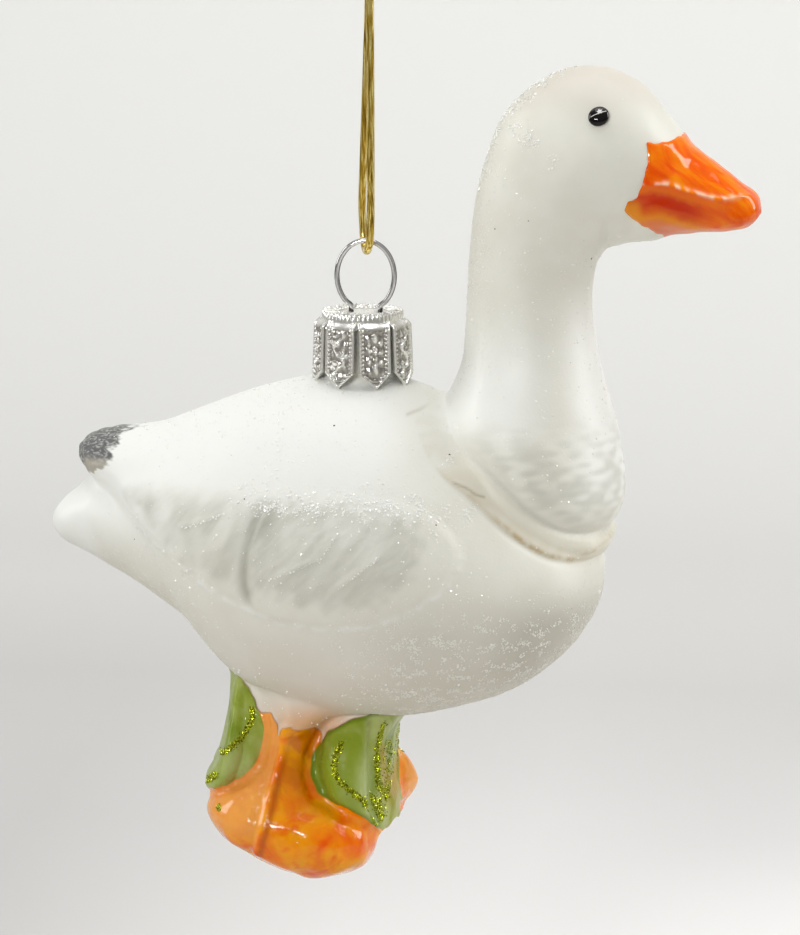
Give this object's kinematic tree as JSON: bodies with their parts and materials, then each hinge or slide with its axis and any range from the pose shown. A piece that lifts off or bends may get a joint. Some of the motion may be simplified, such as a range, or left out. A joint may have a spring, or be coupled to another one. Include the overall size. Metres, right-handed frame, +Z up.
{
  "type": "glass goose ornament",
  "caption": "Mouth-blown glass tree ornament in the shape of a standing white goose, with painted bill, feet and leaves, a stamped metal cap, a wire ring and a loop of gold thread.",
  "frame": {"origin": "underside of the top of the wire ring, where the thread carries the ornament", "axes": "+X the way the goose faces, +Z up along the hanging thread, y = 0 the goose's mid-plane"},
  "size_m": [0.0957, 0.045, 0.1274],
  "materials": {
    "white_glass": "matt white lacquer over blown glass, dusted with fine glitter",
    "ribbon_glass": "cream lacquer with ochre shading over moulded glass",
    "grey_paint": "mottled charcoal paint",
    "bill_enamel": "high gloss orange enamel",
    "foot_enamel": "high gloss translucent orange enamel",
    "leaf_enamel": "high gloss green enamel with lime glitter veins",
    "eye_enamel": "gloss black dot with a white highlight",
    "stamped_metal": "bright stamped sheet with beaded rims",
    "ring_wire": "bright spring wire",
    "gold_thread": "smooth metallised gold cord"
  },
  "bodies": {
    "root": {"trunk": "white_glass", "neck": "white_glass", "head": "white_glass", "tail": "white_glass", "wing_left": "white_glass", "wing_right": "white_glass", "glass_stub": "white_glass", "neck_ribbon": "ribbon_glass", "wing_tips": "grey_paint", "bill_upper": "bill_enamel", "bill_lower": "bill_enamel", "leg_left": "foot_enamel", "leg_right": "foot_enamel", "foot_left": "foot_enamel", "foot_right": "foot_enamel", "leaf_back": "leaf_enamel", "leaf_front": "leaf_enamel", "eye_left": "eye_enamel", "eye_right": "eye_enamel", "cap": "stamped_metal", "hanger_ring": "ring_wire", "thread": "gold_thread", "thread_knot": "gold_thread"}
  },
  "joints": []
}
